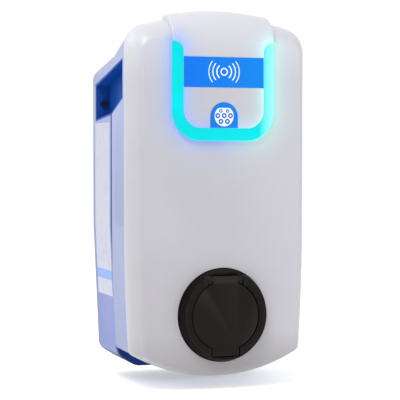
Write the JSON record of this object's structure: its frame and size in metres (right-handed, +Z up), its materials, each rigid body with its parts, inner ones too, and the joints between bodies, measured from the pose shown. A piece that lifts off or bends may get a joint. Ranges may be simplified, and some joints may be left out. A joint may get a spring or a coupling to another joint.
{
  "type": "ev charging post",
  "caption": "Wall-mounted vehicle charge point: bowed light grey shell with a raised tongue framed by a lit U, blue reader band, black lidded round socket and side pockets.",
  "frame": {"origin": "on the wall plane, at the centre of the unit's width and at mid-height of its front outline", "axes": "+Z up along the wall, +X to the right seen from the front, -Y out of the wall towards the user"},
  "size_m": [0.2242, 0.197, 0.4525],
  "materials": {
    "cover_plastic": "satin moulded shell",
    "housing_plastic": "fine texture",
    "ring_plastic": "fine texture",
    "blue_plastic": "satin",
    "light_guide": "clear guide lit from behind",
    "lamp": "lit lamp",
    "blue_film": "printed film",
    "label_film": "printed film",
    "socket_plastic": "fine spark texture",
    "lid_plastic": "satin",
    "contact_silver": "silver plated",
    "black_rubber": "soft",
    "black_steel": "black oxide",
    "steel_screw": "bright",
    "steel_pin": "ground",
    "spring_steel": "bright wire",
    "zinc_steel": "zinc plated sheet",
    "brass_post": "plain",
    "circuit_board": "solder mask",
    "component_black": "moulded",
    "device_grey": "moulded",
    "device_dark": "moulded",
    "lever_plastic": "moulded",
    "button_plastic": "moulded",
    "terminal_plastic": "moulded",
    "guard_plastic": "moulded sheet",
    "gland_plastic": "moulded nylon",
    "wire_black": "insulated wire",
    "wire_brown": "insulated wire"
  },
  "bodies": {
    "enclosure": {"wall_plate": "zinc_steel", "rear_housing": "housing_plastic", "seam_frame": "blue_plastic", "middle_ring": "ring_plastic", "cover_seal": "black_rubber", "pocket_liner_right": "blue_plastic", "pocket_liner_left": "blue_plastic", "wall_lock_screws": "black_steel", "socket_housing": "socket_plastic", "contact_base": "socket_plastic", "socket_core": "socket_plastic", "socket_contacts": "contact_silver", "socket_gasket": "black_rubber", "socket_screws": "steel_screw", "hinge_pin": "steel_pin", "lid_spring": "spring_steel", "lock_actuator": "device_dark", "mounting_rail": "zinc_steel", "rail_posts": "zinc_steel", "breaker_body": "device_grey", "contactor": "device_grey", "energy_meter": "device_grey", "power_supply": "device_dark", "controller_board": "circuit_board", "board_components": "component_black", "board_posts": "brass_post", "board_screws": "steel_screw", "supply_terminals": "terminal_plastic", "clamp_screws": "steel_screw", "earth_bar": "brass_post", "earth_screws": "steel_screw", "touch_guard": "guard_plastic", "guard_screws": "steel_screw", "frame_screws": "steel_screw", "gland_body": "gland_plastic", "gland_locknut": "gland_plastic", "gland_nut": "gland_plastic", "gland_seal": "black_rubber", "blanking_plug": "gland_plastic", "supply_wires": "wire_black", "outlet_wires": "wire_brown", "rating_label": "label_film"},
    "cover": {"front_cover": "cover_plastic", "cover_screws": "steel_screw", "tongue_panel": "cover_plastic", "light_guide": "light_guide", "led_board": "circuit_board", "status_lamps": "lamp", "led_board_screws": "steel_screw", "reader_board": "circuit_board", "reader_screws": "steel_screw", "reader_band": "blue_film", "plug_badge": "blue_film"},
    "lid": {"socket_lid": "lid_plastic", "lid_seal": "black_rubber"},
    "lock_pin": {"plug_lock_pin": "steel_pin"},
    "lever": {"breaker_lever": "lever_plastic"},
    "button": {"test_button": "button_plastic"}
  },
  "joints": [
    {"name": "cover_lift_off", "type": "slide", "parent": "enclosure", "child": "cover", "axis": [0, -1, 0], "range_m": [0, 0.13]},
    {"name": "lid_hinge", "type": "hinge", "parent": "enclosure", "child": "lid", "pos_m": [0, -0.1922, -0.1007], "axis": [-1, 0, 0], "range_deg": [0, 100], "stiffness_Nm_per_rad": 0.02, "springref_deg": -28.65},
    {"name": "plug_lock", "type": "slide", "parent": "enclosure", "child": "lock_pin", "axis": [0, 0, -1], "range_m": [0, 0.0048]},
    {"name": "breaker_toggle", "type": "hinge", "parent": "enclosure", "child": "lever", "pos_m": [0, -0.134, 0.05], "axis": [1, 0, 0], "range_deg": [0, 50]},
    {"name": "test_press", "type": "slide", "parent": "enclosure", "child": "button", "axis": [0, 1, 0], "range_m": [0, 0.0018], "stiffness_N_per_m": 400, "springref_m": -0.001}
  ]
}
